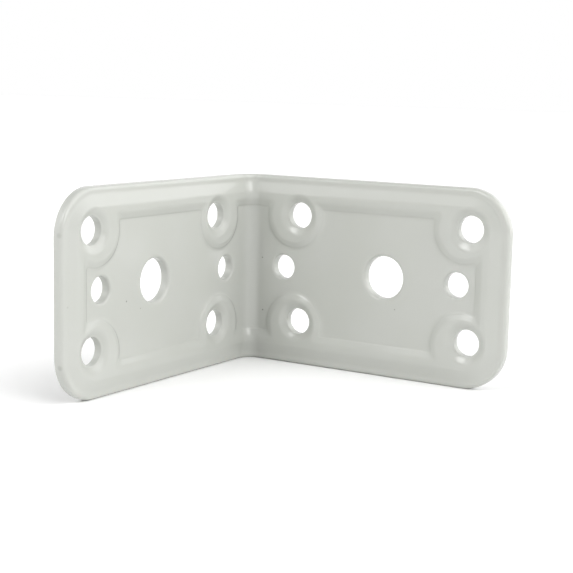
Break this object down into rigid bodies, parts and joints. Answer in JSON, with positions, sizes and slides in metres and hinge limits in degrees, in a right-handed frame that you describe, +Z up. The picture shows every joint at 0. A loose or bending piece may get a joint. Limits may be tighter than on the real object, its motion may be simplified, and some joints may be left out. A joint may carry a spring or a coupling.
{
  "type": "angle bracket",
  "caption": "Right-angle bracket folded from painted sheet steel, with a pressed raised border, dimpled corner holes and plain holes on the centre line.",
  "frame": {"origin": "middle of the square that the two legs span, on the surface that the long edges stand on", "axes": "+Z up, along the line of the bend; one leg runs along +X at the back (+Y) and the other runs along -Y at the left (-X), with the outside of the bend at the (-X, +Y) corner"},
  "size_m": [0.062, 0.062, 0.04],
  "materials": {
    "paint": "glossy off-white paint over sheet steel"
  },
  "bodies": {
    "root": {"bracket": "paint"}
  },
  "joints": []
}
